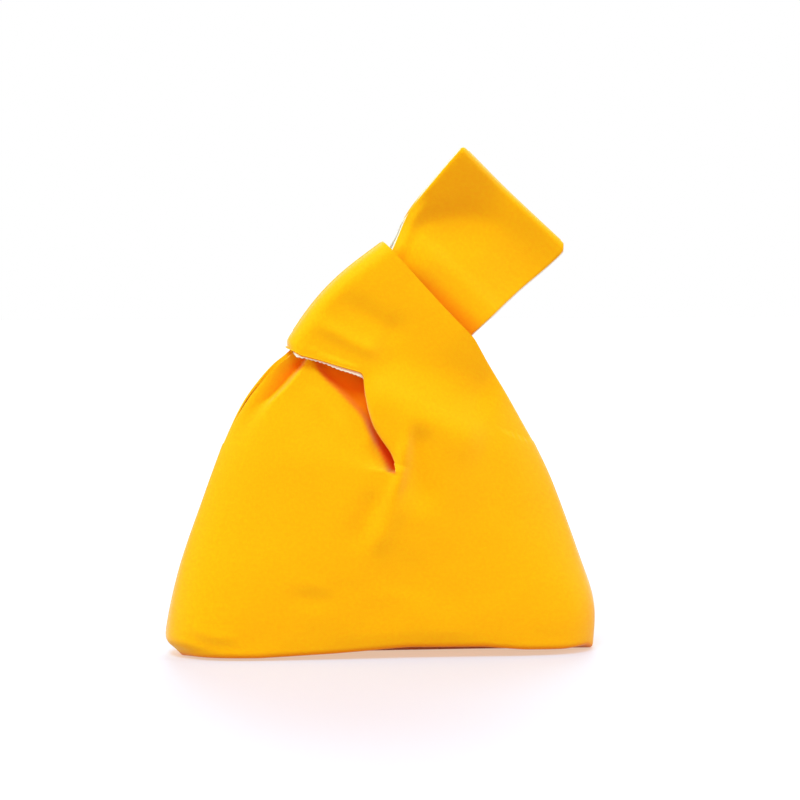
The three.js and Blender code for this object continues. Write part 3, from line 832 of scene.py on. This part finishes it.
heights = np.linspace(SEAM_FOOT, SEAM_HEIGHT, 40)
for side, edge, sign in (("left", LEFT_EDGE, 1), ("right", RIGHT_EDGE, -1)):
    line = np.stack([side_at(edge, heights), 0 * heights, heights], -1)
    seam_strip(f"{side}_seam", line, np.tile([sign, 0, 0], (len(line), 1)), "bag", f"{side}_side_seam")
shares = np.linspace(0.01, 0.99, 40)
base = lerp(side_at(LEFT_EDGE, 0) + CORNER_TUCK, side_at(RIGHT_EDGE, 0) - CORNER_TUCK, shares)
line = np.stack([base, 0 * base, 0 * base + BASE_SEAM_RISE], -1)
seam_strip("base_seam", line, np.tile([0, 0, 1], (len(line), 1)), "bag", "bottom_seam")
flat = fold_line(lerp(FOLD_SEAM_FROM, 1.0, shares))
line = np.stack([flat[:, 0], 0 * shares, flat[:, 1]], -1)
seam_strip("fold_seam", line, np.tile(STRAP_ACROSS, (len(line), 1)), "bag", "short_loop_seam")
crown_left = side_at(HANDLE_LEFT, HANDLE_LENGTH) + CROWN_INSET
crown_right = side_at(HANDLE_RIGHT, HANDLE_LENGTH) - CROWN_INSET
a = lerp(crown_left, crown_right, shares)
flat = knot_point(a, HANDLE_LENGTH)
line = np.stack([flat[:, 0], handle_middle(a, HANDLE_LENGTH), flat[:, 1]], -1)
inwards = np.array([-ALONG[0], 0, -ALONG[1]])
seam_strip("crown_seam", line, np.tile(inwards, (len(line), 1)), "handle", "handle_crown_seam")

# %% [markdown]
# ## Floor
# The bag stands on a white sweep. For the light that falls on the bag the floor is plain grey. What the
# camera sees is another mix: near the bag a cool colour with a painted warm glow, a painted bounce of the
# bag's orange that keeps the shadow pale, and further off pure white. More lamps would whiten the floor too,
# and bleach the canvas.

# %% Floor
FLOOR_COLOUR = (0.11, 0.25, 0.48, 1)
FLOOR_BOUNCE = (0.5, 0.5, 0.5, 1)
# Painted warm glow near the bag, standing for the orange light that it bounces into its shadow.
FLOOR_PAINTED_BOUNCE = (0.73, 0.5, 0.36, 1)
FLOOR_NEAR = 0.12
FLOOR_FAR = 0.42
FLOOR_SIZE = 8
FLOOR_DROP = 0.0002
FLOOR_ROUGHNESS = 0.5
PURE_WHITE = (1, 1, 1, 1)
BLACK = (0, 0, 0, 1)


def seen_directly(nodes, links):
    """1 for rays from the camera, or by gloss or glass, and 0 for the light that falls on things."""
    path = nodes.new("ShaderNodeLightPath")
    total = path.outputs["Is Camera Ray"]
    for name in ("Is Glossy Ray", "Is Transmission Ray"):
        highest = nodes.new("ShaderNodeMath")
        highest.operation = "MAXIMUM"
        links.new(total, highest.inputs[0])
        links.new(path.outputs[name], highest.inputs[1])
        total = highest.outputs["Value"]
    return total


bpy.ops.mesh.primitive_plane_add(size=FLOOR_SIZE, location=(0, 0, -FLOOR_DROP))
floor = bpy.context.object
floor.name = "floor"
sweep = bpy.data.materials.new("white_sweep")
sweep.use_nodes = True
nodes, links = sweep.node_tree.nodes, sweep.node_tree.links
surface = nodes["Principled BSDF"]
surface.inputs["Roughness"].default_value = FLOOR_ROUGHNESS
place = nodes.new("ShaderNodeTexCoord")
distance = nodes.new("ShaderNodeVectorMath")
distance.operation = "LENGTH"
links.new(place.outputs["Object"], distance.inputs[0])
white = nodes.new("ShaderNodeMapRange")
white.interpolation_type = "SMOOTHSTEP"
white.inputs["From Min"].default_value = FLOOR_NEAR
white.inputs["From Max"].default_value = FLOOR_FAR
links.new(distance.outputs["Value"], white.inputs["Value"])
seen = seen_directly(nodes, links)
links.new(seen, surface.inputs["Emission Strength"])
far = nodes.new("ShaderNodeMath")
far.operation = "MULTIPLY"
links.new(seen, far.inputs[0])
links.new(white.outputs["Result"], far.inputs[1])
near_base = mixed(nodes, links, seen, FLOOR_BOUNCE, FLOOR_COLOUR)
for socket, near, away in (("Base Color", near_base, BLACK), ("Emission Color", FLOOR_PAINTED_BOUNCE, PURE_WHITE)):
    links.new(mixed(nodes, links, far.outputs["Value"], near, away), surface.inputs[socket])
floor.data.materials.append(sweep)
print("floor turns white from", FLOOR_NEAR, "to", FLOOR_FAR, "m")

# %% [markdown]
# ## Light of the room
# The camera sees a white backdrop, and the bag is lit by a warm room. Warm light in the shade and cool
# lamps above keep shaded canvas orange, and together they come near to white. Canvas lights the canvas
# across a fold, so the light may bounce often.

# %% Room
AMBIENT_COLOUR = (1.0, 0.25, 0.1, 1)
ROOM_LEVEL = 1.0
BOUNCES = 12

world = bpy.data.worlds.new("studio")
bpy.context.scene.world = world
world.use_nodes = True
nodes, links = world.node_tree.nodes, world.node_tree.links
seen = seen_directly(nodes, links)
links.new(mixed(nodes, links, seen, AMBIENT_COLOUR, PURE_WHITE), nodes["Background"].inputs["Color"])
nodes["Background"].inputs["Strength"].default_value = ROOM_LEVEL
bpy.context.scene.cycles.max_bounces = BOUNCES
bpy.context.scene.cycles.diffuse_bounces = BOUNCES
print("light bounces up to", BOUNCES, "times")

# %% [markdown]
# ## Lamps
# Softboxes are wide, so their shadows are soft. The key hangs above the front, one stands on each side and
# one behind. A single sun lamp would be simpler, but its shadows have hard edges.

# %% Lamps
COOL = (0.35, 1.0, 0.95)
LIT_POINT = Vector((0, 0, 0.1))
SOFTBOXES = (
    ("key_softbox", (-0.3, -0.62, 1.25), (0.6, 0.4), 18.0),
    ("right_softbox", (1.1, -0.2, 0.5), (0.4, 0.8), 6.0),
    ("left_softbox", (-1.1, -0.2, 0.5), (0.4, 0.8), 4.0),
    ("back_softbox", (0.2, 0.9, 1.0), (0.9, 0.6), 9.0),
)


def softbox(name, place, size, power):
    lamp = bpy.data.lights.new(name, "AREA")
    lamp.shape = "RECTANGLE"
    lamp.size, lamp.size_y = size
    lamp.energy = power
    lamp.color = COOL
    holder = bpy.data.objects.new(name, lamp)
    holder.location = place
    holder.rotation_euler = (LIT_POINT - Vector(place)).to_track_quat("-Z", "Y").to_euler()
    bpy.context.collection.objects.link(holder)


for name, place, size, power in SOFTBOXES:
    softbox(name, place, size, power)
    print(name, power, "W")

# %% [markdown]
# ## Camera
# The camera looks from a little above the table and slightly from the left. A long lens from nearly a metre
# away keeps the sides of the bag from leaning apart.

# %% Camera
SENSOR = 36
CAMERA_AZIMUTH = math.radians(-5)
CAMERA_ELEVATION = math.radians(4.5)
CAMERA_DISTANCE = 0.95
VIEW_WIDTH = 0.3756
AIM = Vector((0.0089, 0, 0.1183))

camera_data = bpy.data.cameras.new("camera")
camera_data.sensor_width = SENSOR
camera_data.lens = SENSOR * CAMERA_DISTANCE / VIEW_WIDTH
camera = bpy.data.objects.new("camera", camera_data)
flat_share = math.cos(CAMERA_ELEVATION)
towards = Vector((math.sin(CAMERA_AZIMUTH) * flat_share, -math.cos(CAMERA_AZIMUTH) * flat_share,
                  math.sin(CAMERA_ELEVATION)))
camera.location = AIM + towards * CAMERA_DISTANCE
camera.rotation_euler = (-towards).to_track_quat("-Z", "Y").to_euler()
bpy.context.collection.objects.link(camera)
bpy.context.scene.camera = camera
bpy.context.scene.view_settings.view_transform = "Standard"
print("lens", round(camera_data.lens, 1), "mm")
